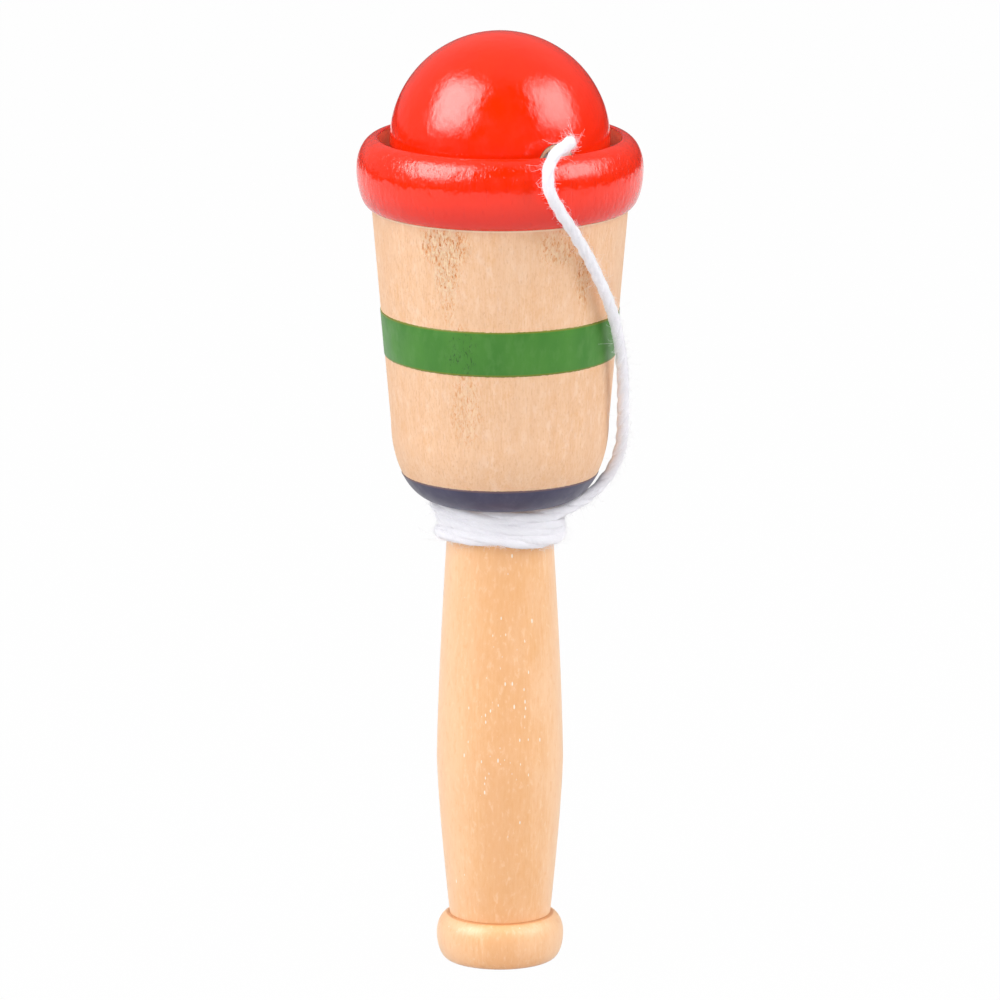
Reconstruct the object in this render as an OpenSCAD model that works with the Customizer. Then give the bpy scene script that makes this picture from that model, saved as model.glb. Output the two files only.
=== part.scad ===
// Cup and ball toy: a turned cup glued on a turned handle, with a ball on a cord
// Sizes are in millimetres; the toy stands on its foot at the origin, its front faces -Y

/* [Handle] */
// Height of the handle, from the floor to the underside of the cup
handle_h = 70.4; // [60:0.1:80]
// Diameter of the flat under the foot
base_d = 15.6; // [12:0.1:18]
// Largest diameter of the foot
foot_d = 18.9; // [16.5:0.1:22]
// Height of the foot's largest diameter
foot_mid_h = 3.8; // [2:0.1:5]
// Height of the crease between foot and grip
foot_h = 6.9; // [5:0.1:9]
// Diameter of the grip at the crease
ankle_d = 15; // [11:0.1:17]
// Largest diameter of the grip
grip_d = 18.8; // [16.5:0.1:22]
// Height of the grip's largest diameter
grip_mid_h = 30.8; // [20:0.1:45]
// How early the grip thins towards the foot, where 1 is a straight taper
low_taper = 1.34; // [1:0.01:2.5]
// How early the grip thins towards the cup, where 1 is a straight taper
high_taper = 1.4; // [1:0.01:2.5]
// Diameter of the neck under the cup
neck_d = 15; // [12:0.1:17]

/* [Cup] */
// Height of the cup, from its underside to the lip
cup_h = 54.3; // [48:0.1:62]
// Diameter of the flat under the cup
floor_d = 18.8; // [17.5:0.1:24]
// Height of the rounding between the flat and the wall
round_h = 11.5; // [8:0.1:16]
// Diameter of the wall at the top of the rounding
wall_low_d = 32.2; // [28:0.1:35]
// Diameter of the wall where it meets the rim
wall_top_d = 37.8; // [36.5:0.1:40]
// Height of the rim
rim_h = 10.3; // [8:0.1:13]
// Largest diameter of the rim
rim_d = 42; // [40.5:0.1:46]
// Height of the rim's largest diameter above the rim's lower edge
rim_mid_h = 5.7; // [3:0.1:7]
// Diameter of the mouth at the lip
lip_d = 36; // [34.5:0.1:38]
// Diameter of the spigot under the cup, which is glued into the handle
spigot_d = 8; // [5:0.1:10]
// Length of the spigot
spigot_len = 14; // [8:0.5:20]

/* [Ball] */
// Diameter of the ball
ball_d = 32.5; // [30:0.1:33.5]
// Depth of the ball's centre below the lip
ball_sink = 0.7; // [0:0.1:3]
// Diameter of the bore through the ball
bore_d = 3.6; // [2.4:0.1:4.4]
// Diameter of the countersinks at the ball's surface
sink_d = 5.4; // [4.8:0.1:6.5]
// Depth of the countersinks
sink_depth = 1.2; // [0.6:0.1:2]

/* [Paint] */
// Thickness of a coat of paint
coat_t = 0.1; // [0.05:0.01:0.3]
// Height of the green band's lower edge above the cup's underside
green_low = 21.8; // [17:0.1:28]
// Height of the green band
green_h = 6.8; // [3:0.1:12]
// Height of the dark blue band above the cup's underside
navy_h = 4.1; // [2:0.1:7]

/* [Cord] */
// Diameter of the cotton cord
cord_d = 1.6; // [1.2:0.1:1.8]
// Turns of the winding round the neck
wind_turns = 2.5; // [1.5:1:3.5]
// Gap between neighbouring turns
row_gap = 0.45; // [0.44:0.01:0.8]
// How far the turns rise at the left and fall at the right
row_tilt = 0.7; // [0:0.1:1]
// How far the end of the winding drops towards its knot
tail_drop = 0.9; // [0.8:0.1:1.5]
// Diameter of the knot that ends the winding
knot_d = 2.8; // [2.4:0.1:3.2]
// Length of that knot
knot_len = 2.8; // [2:0.1:4]
// Diameter of the stopper knot behind the ball
stopper_d = 4.2; // [3.8:0.1:4.8]
// Length of the stopper knot
stopper_len = 2; // [1.6:0.1:2.2]
// Length of bore that the straight stretch of cord fills before the cord bends
mouth_reach = 11; // [9:0.1:12]

/* [Clearances] */
// Gap between the ball and the bowl
seat_gap = 0.3; // [0.2:0.05:0.6]
// Glue gap around the spigot
glue_gap = 0.05; // [0.02:0.01:0.2]
// Room for glue below the spigot
glue_room = 0.5; // [0.2:0.1:2]
// Gap between the winding and the neck
neck_gap = 0.15; // [0.12:0.01:0.3]
// Gap between the winding and the cup
head_gap = 0.15; // [0.12:0.01:0.4]
// Gap between the stopper knot and the start of its countersink
stopper_gap = 0.3; // [0.2:0.05:0.6]

/* [Hidden] */

$fn = 96;

// Steps along a quarter of an ellipse, and along each half of the grip
arc_steps = 10;
grip_steps = 12;
// Past a face, so that a cut goes right through it
cut_past = 1;

// Heights and radii of the cup
lip_z = handle_h + cup_h;
rim_z = lip_z - rim_h;
rim_mid_z = rim_z + rim_mid_h;
wall_z = handle_h + round_h;
floor_r = floor_d / 2;
wall_low_r = wall_low_d / 2;
wall_top_r = wall_top_d / 2;
rim_r = rim_d / 2;
lip_r = lip_d / 2;
// Angle on the rounding at which the dark blue paint ends
navy_angle = asin((navy_h - round_h) / round_h);

// The ball sits in a bowl that is part of a sphere, just clear of the ball's lowest point
ball_r = ball_d / 2;
ball_z = lip_z - ball_sink;
bowl_depth = ball_sink + ball_r + seat_gap;
bowl_r = (lip_r * lip_r + bowl_depth * bowl_depth) / (2 * bowl_depth);
bowl_z = lip_z - bowl_depth + bowl_r;

// The bore's mouth points this far to the right of the front, and this far below the level
mouth_turn = 30.5;
mouth_dip = 2.5;
bore_r = bore_d / 2;
sink_r = sink_d / 2;
sink_slope = (sink_r - bore_r) / sink_depth;
sink_start = sqrt(ball_r * ball_r - sink_r * sink_r) - sink_depth;
mouth_dir = [cos(mouth_dip) * sin(mouth_turn), -cos(mouth_dip) * cos(mouth_turn), -sin(mouth_dip)];
stopper_start = sink_start + stopper_gap;

// A knot's end faces are this many times as wide as the cord
knot_end = 1.3;

// The winding starts at the right of the front and runs round by the front and the left
cord_r = cord_d / 2;
wind_start = -45;
wind_rings = 24;
row_pitch = cord_d + row_gap;
first_turn = [for (i = [0 : wind_rings]) tilt_at(i / wind_rings)];
wind_z = handle_h - head_gap - cord_r - max(first_turn);
// Share of a turn over which the end of the winding drops
drop_share = 0.25;
// A step of a turn that is small enough to take a heading from
small_turn = 0.001;
turn_points = [for (i = [0 : wind_rings * wind_turns]) winding_at(i / wind_rings)];
lead_dir = unit(winding_at(small_turn) - winding_at(-small_turn));
lead_point = turn_points[0] - cord_d * lead_dir;
tail_start = turn_points[len(turn_points) - 1];
tail_dir = unit(winding_at(wind_turns) - winding_at(wind_turns - small_turn));
// The straight tail is long enough for the knot to stand clear of the neck
tail_seat = grip_at(tail_start.z - knot_d / 2) + neck_gap;
tail_out = sqrt(pow(tail_seat + knot_d / 2, 2) - pow(norm([tail_start.x, tail_start.y]), 2));
tail_len = max(cord_d, tail_out - knot_len / 2);
tail_point = tail_start + tail_len * tail_dir;
winding_path = concat([lead_point], turn_points, [tail_point]);
winding_sides = 6;
winding_points = tube_points(winding_path, headings(winding_path, lead_dir, tail_dir), winding_sides);

// The least gap of the winding to itself, over points that lie at least half a turn apart
apart = winding_sides * wind_rings / 2;
least_gap = min([for (i = [0 : len(winding_points) - apart - 1])
    for (j = [i + apart : len(winding_points) - 1]) norm(winding_points[i] - winding_points[j])]);
echo(least_gap_of_winding = least_gap);

// Points of the cord's free run: out of the ball, over the lip, down the cup's right side
free_points = [
    [7.4, -11.9, 123.5], [8.9, -13.7, 124.8], [9.8, -15.3, 126.5], [10.1, -17, 127.1],
    [9.6, -18.9, 127], [8.4, -20.3, 126.4], [7.3, -21.3, 125], [6.9, -21.7, 123],
    [7.2, -21.5, 120.6], [8.1, -20.9, 118.7], [9.2, -19.8, 116.6], [10.4, -18.4, 114.5],
    [11.6, -16.9, 112.2], [12.8, -15.3, 109.8], [14.2, -13.5, 106.5], [15.8, -11.5, 102.5],
    [16.9, -9.5, 98.5], [17.6, -7.5, 94.5], [18, -5.8, 90.5], [18.1, -4.2, 86.5],
    [18.1, -2.5, 82.5], [17.9, -0.6, 78.8], [17, 1.2, 75.2], [15.2, 1.8, 72.2],
    [12.7, 0.7, 70.1], [10.1, -1.8, 69.1]
];
free_steps = 2;
mouth_point = [0, 0, ball_z] + mouth_reach * mouth_dir;
free_path = smooth_path(concat([mouth_point], free_points, [lead_point]), free_steps);
free_sides = 8;
free_run_points = tube_points(free_path, headings(free_path, mouth_dir, lead_dir), free_sides);

function unit(v) = v / norm(v);

// Points of an ellipse round a centre, from one angle to another
function arc(centre, rx, rz, from, to) =
    [for (i = [0 : arc_steps])
        let (a = from + (to - from) * i / arc_steps)
        centre + [rx * cos(a), rz * sin(a)]];

// The list in the opposite order
function backwards(list) = [for (i = [len(list) - 1 : -1 : 0]) list[i]];

// Radius of the grip at a height
function grip_at(z) = z < grip_mid_h
    ? (grip_d - (grip_d - ankle_d) * pow((grip_mid_h - z) / (grip_mid_h - foot_h), low_taper)) / 2
    : (grip_d - (grip_d - neck_d) * pow((z - grip_mid_h) / (handle_h - grip_mid_h), high_taper)) / 2;

// Radius of the cup's straight wall at a height
function wall_at(z) =
    wall_low_r + (wall_top_r - wall_low_r) * (z - wall_z) / (rim_z - wall_z);

// The cup's rounding between two angles, bare or grown by a coat of paint
function rounding(from, to, coat) =
    arc([floor_r, wall_z], wall_low_r - floor_r + coat, round_h + coat, from, to);

// The rim's outside, from its lower edge to the lip, bare or grown by a coat of paint
function rim_side(coat) = concat(
    arc([wall_top_r, rim_mid_z], rim_r - wall_top_r + coat, rim_mid_h + coat, -90, 0),
    arc([lip_r, rim_mid_z], rim_r - lip_r + coat, lip_z - rim_mid_z + coat, 0, 90));

// Height of the winding's centre line after some turns, measured from its start
function tilt_at(turn) =
    -row_pitch * turn - row_tilt * (cos(wind_start - 360 * turn) - cos(wind_start));

// Rises smoothly from 0 to 1
function ease(u) = let (v = max(0, min(1, u))) v * v * (3 - 2 * v);

// A point of the winding's centre line after some turns
function winding_at(turn) =
    let (a = wind_start - 360 * turn)
    let (drop = tail_drop * ease((turn - wind_turns + drop_share) / drop_share))
    let (z = wind_z + tilt_at(turn) - drop)
    let (r = grip_at(min(z, handle_h)) + neck_gap + cord_r)
    [r * cos(a), r * sin(a), z];

// A smooth curve through points, with some steps from each to the next
function smooth_path(p, steps) = concat(
    [for (i = [0 : len(p) - 2]) for (k = [0 : steps - 1]) smooth_point(p, i, k / steps)],
    [p[len(p) - 1]]);

function smooth_point(p, i, u) =
    let (a = p[max(i - 1, 0)], b = p[i], c = p[i + 1], d = p[min(i + 2, len(p) - 1)])
    b + u * (c - a) / 2
      + u * u * (2 * a - 5 * b + 4 * c - d) / 2
      + u * u * u * (3 * b - a - 3 * c + d) / 2;

// Directions along a path, square to its two end faces
function headings(path, first, final) =
    let (n = len(path))
    [for (i = [0 : n - 1])
        i == 0 ? first : i == n - 1 ? final : unit(path[i + 1] - path[i - 1])];

// The part of a side vector that is square to a heading
function square_to(side, heading) = unit(side - heading * (side * heading));

// Side vectors that follow the headings without twisting
function side_vectors(heads) =
    [for (i = 0, s = square_to([0, 0, 1], heads[0]);
          i < len(heads);
          i = i + 1, s = square_to(s, heads[min(i, len(heads) - 1)])) s];

// Points of all rings of a tube, ring after ring
function tube_points(path, heads, sides) =
    let (across = side_vectors(heads))
    [for (i = [0 : len(path) - 1])
        let (over = cross(heads[i], across[i]))
        for (k = [0 : sides - 1])
            let (a = 360 * k / sides)
            path[i] + cord_r * (cos(a) * across[i] + sin(a) * over)];

// Triangles of a tube, with a fan on each end
function tube_faces(rings, sides) =
    let (end = (rings - 1) * sides)
    concat(
        [for (i = [0 : rings - 2]) for (k = [0 : sides - 1])
            let (p = i * sides + k, q = i * sides + (k + 1) % sides)
            each [[p, p + sides, q + sides], [p, q + sides, q]]],
        [for (k = [1 : sides - 2]) [0, k, k + 1]],
        [for (k = [1 : sides - 2]) [end, end + k + 1, end + k]]);

// Turns the ball's bore, which is drawn along Z, so that its mouth faces mouth_dir
module along_bore() {
    translate([0, 0, ball_z]) rotate([0, 90 + mouth_dip, mouth_turn - 90]) children();
}

// A knot drawn as a barrel along Z, from z = 0 up
module knot(d, len) {
    end_r = cord_r * knot_end;
    side = arc([end_r, len / 2], d / 2 - end_r, len / 2, -90, 90);
    rotate_extrude() polygon(concat([[0, 0]], side, [[0, len]]));
}

// The turned cup, with the ball's bowl in its top and its spigot below
module cup() {
    outline = concat(
        [[0, handle_h - spigot_len], [spigot_d / 2, handle_h - spigot_len], [spigot_d / 2, handle_h]],
        rounding(-90, navy_angle, 0),
        rounding(navy_angle, 0, 0),
        [[wall_at(handle_h + green_low), handle_h + green_low]],
        [[wall_at(handle_h + green_low + green_h), handle_h + green_low + green_h]],
        rim_side(0),
        [[0, lip_z]]);
    color("#EEC8A0") difference() {
        rotate_extrude() polygon(outline);
        translate([0, 0, bowl_z]) sphere(bowl_r);
    }
}

// The red coat over the rim
module rim_paint() {
    color("#F0321A") rotate_extrude()
        polygon(concat(rim_side(coat_t), backwards(rim_side(0))));
}

// The green coat round the wall
module green_band() {
    low = handle_h + green_low;
    high = low + green_h;
    color("#568A40") rotate_extrude() polygon([
        [wall_at(low), low], [wall_at(low) + coat_t, low],
        [wall_at(high) + coat_t, high], [wall_at(high), high]]);
}

// The dark blue coat over the lower part of the rounding
module navy_band() {
    color("#524E67") rotate_extrude() polygon(concat(
        rounding(-90, navy_angle, coat_t), backwards(rounding(-90, navy_angle, 0))));
}

// The turned handle, with its foot below and a socket for the cup's spigot above
module handle() {
    grip_step = (grip_mid_h - foot_h) / grip_steps;
    neck_step = (handle_h - grip_mid_h) / grip_steps;
    outline = concat(
        [[0, 0]],
        arc([base_d / 2, foot_mid_h], (foot_d - base_d) / 2, foot_mid_h, -90, 0),
        arc([ankle_d / 2, foot_mid_h], (foot_d - ankle_d) / 2, foot_h - foot_mid_h, 0, 90),
        [for (i = [1 : grip_steps]) let (z = foot_h + i * grip_step) [grip_at(z), z]],
        [for (i = [1 : grip_steps]) let (z = grip_mid_h + i * neck_step) [grip_at(z), z]],
        [[0, handle_h]]);
    socket_h = spigot_len + glue_room;
    color("#F5C78F") difference() {
        rotate_extrude() polygon(outline);
        translate([0, 0, handle_h - socket_h])
            cylinder(h = socket_h + cut_past, r = spigot_d / 2 + glue_gap);
    }
}

// The ball, with its bore and a countersink at each end of it
module ball() {
    color("#F03018") difference() {
        translate([0, 0, ball_z]) sphere(ball_r);
        along_bore() cylinder(h = ball_d + 2 * cut_past, r = bore_r, center = true);
        for (flip = [0, 180]) along_bore() rotate([flip, 0, 0])
            translate([0, 0, sink_start]) cylinder(
                h = sink_depth + cut_past, r1 = bore_r, r2 = sink_r + cut_past * sink_slope);
    }
}

// The straight cord inside the ball
module cord_in_ball() {
    color("#F2F0F2") along_bore() translate([0, 0, -stopper_start])
        cylinder(h = stopper_start + mouth_reach, r = cord_r);
}

// The knot that keeps the cord from slipping through the ball
module ball_knot() {
    color("#F2F0F2") along_bore() rotate([180, 0, 0])
        translate([0, 0, stopper_start]) knot(stopper_d, stopper_len);
}

// The cord from the ball over the lip and down to the winding
module cord_free_run() {
    color("#F2F0F2") polyhedron(free_run_points, tube_faces(len(free_path), free_sides));
}

// The cord's turns round the neck
module cord_winding() {
    color("#F2F0F2") polyhedron(winding_points, tube_faces(len(winding_path), winding_sides));
}

// The knot that ties off the winding at the back
module neck_knot() {
    color("#F2F0F2") translate(tail_point)
        rotate([0, acos(tail_dir.z), atan2(tail_dir.y, tail_dir.x)]) knot(knot_d, knot_len);
}

cup();
rim_paint();
green_band();
navy_band();
handle();
ball();
cord_in_ball();
ball_knot();
cord_free_run();
cord_winding();
neck_knot();
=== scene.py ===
# %% [markdown]
# # A cup and ball toy, turned from wood
# The toy is four things: a turned cup, a turned handle, a painted ball and one length of cotton cord.
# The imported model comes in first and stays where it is: it says where each piece sits and how it moves.
# Everything below is drawn over it in the same frame, in metres, so nothing has to be fitted by eye.

# %% Load the frame
import math

import bpy
import numpy as np
from mathutils import Matrix, Vector


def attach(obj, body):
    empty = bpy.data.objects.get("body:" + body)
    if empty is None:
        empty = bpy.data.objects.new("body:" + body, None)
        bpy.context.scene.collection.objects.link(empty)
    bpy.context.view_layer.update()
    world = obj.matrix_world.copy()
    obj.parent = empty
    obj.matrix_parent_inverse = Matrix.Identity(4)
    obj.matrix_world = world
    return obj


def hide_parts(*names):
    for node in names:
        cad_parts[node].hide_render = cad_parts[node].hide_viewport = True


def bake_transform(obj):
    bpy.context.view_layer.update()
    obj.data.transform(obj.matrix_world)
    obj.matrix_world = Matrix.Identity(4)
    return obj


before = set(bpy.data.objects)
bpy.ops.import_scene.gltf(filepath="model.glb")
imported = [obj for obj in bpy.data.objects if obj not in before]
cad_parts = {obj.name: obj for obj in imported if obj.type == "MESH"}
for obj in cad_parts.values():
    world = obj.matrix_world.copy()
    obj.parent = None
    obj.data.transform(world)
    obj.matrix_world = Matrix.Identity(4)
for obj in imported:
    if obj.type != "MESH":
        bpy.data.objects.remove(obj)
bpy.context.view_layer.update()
MM = 0.001
bpy.ops.object.select_all(action="DESELECT")

# %% [markdown]
# ## The camera
# The picture was taken from a little above, with a long lens, so upright lines hardly lean.
# A camera can be placed by eye, but its distance and its lens hide each other's mistakes.
# Here both are settled first, from the ellipses of the rim and of the foot, and never touched again.

# %% Camera
aim_point = Vector((0, 0, 69.9 * MM))
camera_distance = 1.5
camera_tilt = math.radians(13)
focal_pixels = 10135
picture_pixels = 1000

bpy.ops.object.camera_add()
camera = bpy.context.object
camera.name = "studio_camera"
camera.data.lens = focal_pixels * camera.data.sensor_width / picture_pixels
toward_camera = Vector((0, -math.cos(camera_tilt), math.sin(camera_tilt)))
camera_up = Vector((0, math.sin(camera_tilt), math.cos(camera_tilt)))
camera.location = aim_point + camera_distance * toward_camera
camera.rotation_euler = (math.radians(90) - camera_tilt, 0, 0)
bpy.context.scene.camera = camera
print("camera at", list(camera.location), "lens", round(camera.data.lens, 1), "mm")

# %% [markdown]
# ## The route of the cord
# One cord does everything: it is knotted behind the ball, runs through the bore, loops over the lip,
# hangs down the right side of the cup and is wound two and a half times round the neck.
# A curve object could carry it, but a twisted cord needs its strands, so the route is kept as points.
# The points repeat the route of the solids, in millimetres, and a smooth curve is laid through them.

# %% Cord route
cord_d = 1.6
ball_z = 124.0
lip_z = 124.7
handle_h = 70.4
ball_r, sink_r, sink_depth = 16.25, 2.7, 1.2
mouth_turn, mouth_dip = math.radians(30.5), math.radians(2.5)
mouth_level = np.array([math.sin(mouth_turn), -math.cos(mouth_turn), 0])
mouth_dir = math.cos(mouth_dip) * mouth_level - [0, 0, math.sin(mouth_dip)]
mouth_up = math.sin(mouth_dip) * mouth_level + [0, 0, math.cos(mouth_dip)]
ball_centre = np.array([0, 0, ball_z])
sink_start = math.sqrt(ball_r**2 - sink_r**2) - sink_depth
stopper_start = sink_start + 0.3
straight_end, bend_start = 9, 11
mouth_point = ball_centre + bend_start * mouth_dir

free_points = [
    [7.4, -11.9, 123.5], [8.9, -13.7, 124.8], [9.8, -15.3, 126.5], [10.1, -17, 127.1],
    [9.6, -18.9, 127], [8.4, -20.3, 126.4], [7.3, -21.3, 125], [6.9, -21.7, 123],
    [7.2, -21.5, 120.6], [8.1, -20.9, 118.7], [9.2, -19.8, 116.6], [10.4, -18.4, 114.5],
    [11.6, -16.9, 112.2], [12.8, -15.3, 109.8], [14.2, -13.5, 106.5], [15.8, -11.5, 102.5],
    [16.9, -9.5, 98.5], [17.6, -7.5, 94.5], [18, -5.8, 90.5], [18.1, -4.2, 86.5],
    [18.1, -2.5, 82.5], [17.9, -0.6, 78.8], [17, 1.2, 75.2], [15.2, 1.8, 72.2],
    [12.7, 0.7, 70.1], [10.1, -1.8, 69.1],
]


def smooth_curve(points, steps):
    """A smooth curve through points, with some steps from each to the next."""
    p = np.array(points, float)
    p = np.vstack([p[:1], p, p[-1:]])
    u = np.arange(steps)[:, None] / steps
    spans = []
    for a, b, c, d in zip(p, p[1:], p[2:], p[3:]):
        spans.append(b + u * (c - a) / 2 + u**2 * (2 * a - 5 * b + 4 * c - d) / 2
                     + u**3 * (3 * b - a - 3 * c + d) / 2)
    return np.vstack(spans + [p[-1:]])


print("free run has", len(free_points), "points")

# %% [markdown]
# The winding sits on the neck, so its radius follows the grip of the handle.
# It starts at the right of the front, goes round by the front and the left, and tilts a little,
# so that its rows climb to the left as they do on the real toy, where the first row also bulges out.
# Each later row is tucked up against the one before: tuck_rise says how far it is pushed up at a turn.

# %% Cord winding
grip_mid_h, foot_h = 30.8, 6.9
grip_r, neck_r, ankle_r = 9.4, 7.5, 7.5


def grip_radius(z):
    """Radius of the handle at a height above the crease of the foot."""
    if z < grip_mid_h:
        return grip_r - (grip_r - ankle_r) * ((grip_mid_h - z) / (grip_mid_h - foot_h)) ** 1.34
    return grip_r - (grip_r - neck_r) * ((z - grip_mid_h) / (handle_h - grip_mid_h)) ** 1.4


wind_start, wind_z = math.radians(-45), 68.95
wind_turns, turn_steps = 2.5, 48
row_pitch, row_tilt, row_waver = 2.05, 0.7, 0.1
tail_turns, tail_drop, tail_len = 0.25, 0.9, 1.75
neck_gap = 0.15
slack_turn, slack_turns, slack = 0.4, 0.1, 0.9
tuck_turns = [0, 0.15, 0.5, 0.9, 1, 1.265, 1.6, 1.9, 2, 2.125, 2.265, 2.5]
tuck_rise = [-0.1, 0, 0, 0, 0.05, 0.5, 0.5, 0.4, 0.45, 0.85, 0.75, 0]


def eased(value):
    """A soft step from 0 to 1."""
    value = np.clip(value, 0, 1)
    return value * value * (3 - 2 * value)


def winding_point(turn):
    """A point of the winding after some turns."""
    angle = wind_start - 2 * math.pi * turn
    z = wind_z - row_pitch * turn - row_tilt * (math.cos(angle) - math.cos(wind_start))
    z -= tail_drop * eased((turn - wind_turns + tail_turns) / tail_turns)
    z += np.interp(turn, tuck_turns, tuck_rise)
    r = grip_radius(min(z, handle_h)) + neck_gap + cord_d / 2
    r += slack * math.exp(-((turn - slack_turn) / slack_turns) ** 2)
    z += row_waver * min(1, turn * 4) * math.sin(19 * turn + 2) * math.sin(8 * turn)
    return np.array([r * math.cos(angle), r * math.sin(angle), z])


def winding_heading(first, last):
    """The direction of the winding between two turns."""
    step = winding_point(last) - winding_point(first)
    return step / np.linalg.norm(step)


turns = [winding_point(i / turn_steps) for i in range(int(turn_steps * wind_turns) + 1)]
lead_point = turns[0] - cord_d * winding_heading(-0.001, 0.001)
tail_dir = winding_heading(wind_turns - 0.001, wind_turns)
tail_point = turns[-1] + tail_len * tail_dir
print("winding from", np.round(lead_point, 2), "to", np.round(tail_point, 2))

# %% [markdown]
# The stretches are joined to one line and walked along in even steps.
# At each step the cord needs two directions across it, and they are carried along without twisting.

# %% Cord line
walk_step = 0.3
into_knot = 0.6


def even_steps(points, step):
    """The line again, with points an even step apart."""
    along = np.concatenate([[0], np.cumsum(np.linalg.norm(np.diff(points, axis=0), axis=1))])
    at = np.linspace(0, along[-1], int(round(along[-1] / step)) + 1)
    return np.stack([np.interp(at, along, points[:, k]) for k in range(3)], axis=1), at


def across_line(points):
    """Tangents of a line and two directions across it that don't twist."""
    tangent = np.gradient(points, axis=0)
    tangent /= np.linalg.norm(tangent, axis=1)[:, None]
    side = np.cross(tangent[0], [0.3, 0.2, 0.9])
    sides = []
    for t in tangent:
        side = side - t * (side @ t)
        side /= np.linalg.norm(side)
        sides.append(side)
    sides = np.array(sides)
    return tangent, sides, np.cross(tangent, sides)


bore_steps = np.linspace(-stopper_start - into_knot, straight_end, 9)
bore_points = [ball_centre + s * mouth_dir for s in bore_steps]
free_line = smooth_curve([mouth_point] + free_points + [lead_point], 6)
whole_line = np.vstack([bore_points, free_line, turns, [tail_point + cord_d / 2 * tail_dir]])
cord_line, cord_along = even_steps(whole_line, walk_step)
cord_length = cord_along[-1]
wind_from = cord_along[np.argmin(np.linalg.norm(cord_line - lead_point, axis=1))]
print("cord length", round(cord_length, 1), "mm; the winding starts at", round(wind_from, 1))

# %% [markdown]
# ## The twisted strands
# Cotton cord is three soft strands laid round each other, and the valleys between them catch the shade.
# A round tube with a striped bump looks drawn on, so each strand is its own tube that runs in a helix.
# Its UV map holds millimetres along and around the strand, which lets the fibres follow the twist later.
# In the winding the cord is slack: the twist opens there, and the strands lie apart and a little thinner.

# %% Strand rings
strand_count, strand_sides, strand_r = 3, 10, 0.43
lay_length, loose_lay = 8.0, 2.6


def strand_rings(line, along, twist, loose, size=1.11):
    """Points of the strands, twisted by some turns and here and there loose, as arrays of rings."""
    tangent, side, over = across_line(line)
    around = math.pi + 2 * math.pi * np.arange(strand_sides + 1) / strand_sides
    wobble = 1 + 0.05 * np.sin(along * 0.83) * np.sin(along * 0.29 + 1)
    strands = []
    for k in range(strand_count):
        turn = 2 * math.pi * (twist + k / strand_count)
        out = np.cos(turn)[:, None] * side + np.sin(turn)[:, None] * over
        beside = np.cross(tangent, out)
        lumps = 1 + 0.07 * np.sin(along * 2.3 + 2 * k) * np.sin(along * 0.9 + 5 * k)
        reach = size * wobble * (0.26 + 0.15 * loose)
        thick = size * lumps * (0.555 - 0.025 * loose)
        wide = size * lumps * (0.6 - 0.05 * loose)
        rings = []
        for a in around:
            shift = ((reach + thick * math.cos(a))[:, None] * out
                     + (wide * math.sin(a))[:, None] * beside)
            shift[:, 2] *= 1 + 0.2 * loose
            rings.append(line + shift)
        strands.append(np.stack(rings, axis=1))
    return strands, around


open_before, open_over = 6, 9
close_before, close_over = 1, 6
opening = (cord_along - wind_from + open_before) / open_over
closing = (cord_length - cord_along - close_before) / close_over
in_winding = eased(np.minimum(opening, closing))
cord_twist = np.cumsum(walk_step / (lay_length * (1 + loose_lay * in_winding)))
cord_strands, strand_around = strand_rings(cord_line, cord_along, cord_twist, in_winding)
print("the strands go round each other", round(cord_twist[-1], 1), "times")

# %% [markdown]
# The rings are then joined to closed tubes. Points, faces and UVs are written out as lists here, because
# thousands of faces along a helix can't be drawn by hand.

# %% Strand tubes


def mesh_piece(name, points, faces):
    """A new object from points in millimetres."""
    mesh = bpy.data.meshes.new(name)
    mesh.from_pydata([tuple(p * MM) for p in points], [], faces)
    piece = bpy.data.objects.new(name, mesh)
    bpy.context.collection.objects.link(piece)
    return piece


def tube_faces(base, rings, sides):
    """Faces round a tube, whose rings of points follow each other from a base number on."""
    faces = []
    for ring in range(base, base + (rings - 1) * sides, sides):
        for j in range(sides):
            q = (j + 1) % sides
            faces.append((ring + j, ring + q, ring + sides + q, ring + sides + j))
    return faces


def strand_mesh(name, strands, along, around):
    """A mesh object of closed tubes with millimetre UVs."""
    points, faces, maps = [], [], []
    n = strand_sides
    around_mm = around * strand_r
    for rings in strands:
        base = len(points)
        end = base + (len(along) - 1) * n
        points += list(rings[:, :n].reshape(-1, 3))
        faces += tube_faces(base, len(along), n)
        faces += [tuple(range(base + n - 1, base - 1, -1)), tuple(range(end, end + n))]
        for near, far in zip(along, along[1:]):
            for low, high in zip(around_mm, around_mm[1:]):
                maps += [(near, low), (near, high), (far, high), (far, low)]
        maps += [(along[0], around_mm[0])] * n + [(along[-1], around_mm[0])] * n
    piece = mesh_piece(name, points, faces)
    layer = piece.data.uv_layers.new(name="strand_mm")
    layer.data.foreach_set("uv", np.array(maps, float).ravel())
    piece.data.polygons.foreach_set("use_smooth", [True] * len(faces))
    piece.data.update()
    return piece


cord = strand_mesh("cotton_cord", cord_strands, cord_along, strand_around)
print("cord has", len(cord.data.polygons), "faces")

# %% [markdown]
# ## Loose fibres
# Cotton is never clean: a short nap makes the cord's edge soft, and single wisps stand off further.
# A hair system would do it, but it doesn't travel with a mesh, so each fibre is a thin three-sided thread.
# They are scattered with a fixed seed, so every run gives the same fuzz. Each kind is a count, a stretch
# of the cord, a usual length and a number of points.

# %% Fibre mesh
fibre_r = 0.017
longest_fibre = 2.0
cord_skin = 0.7
scatter = np.random.default_rng(31)


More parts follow.
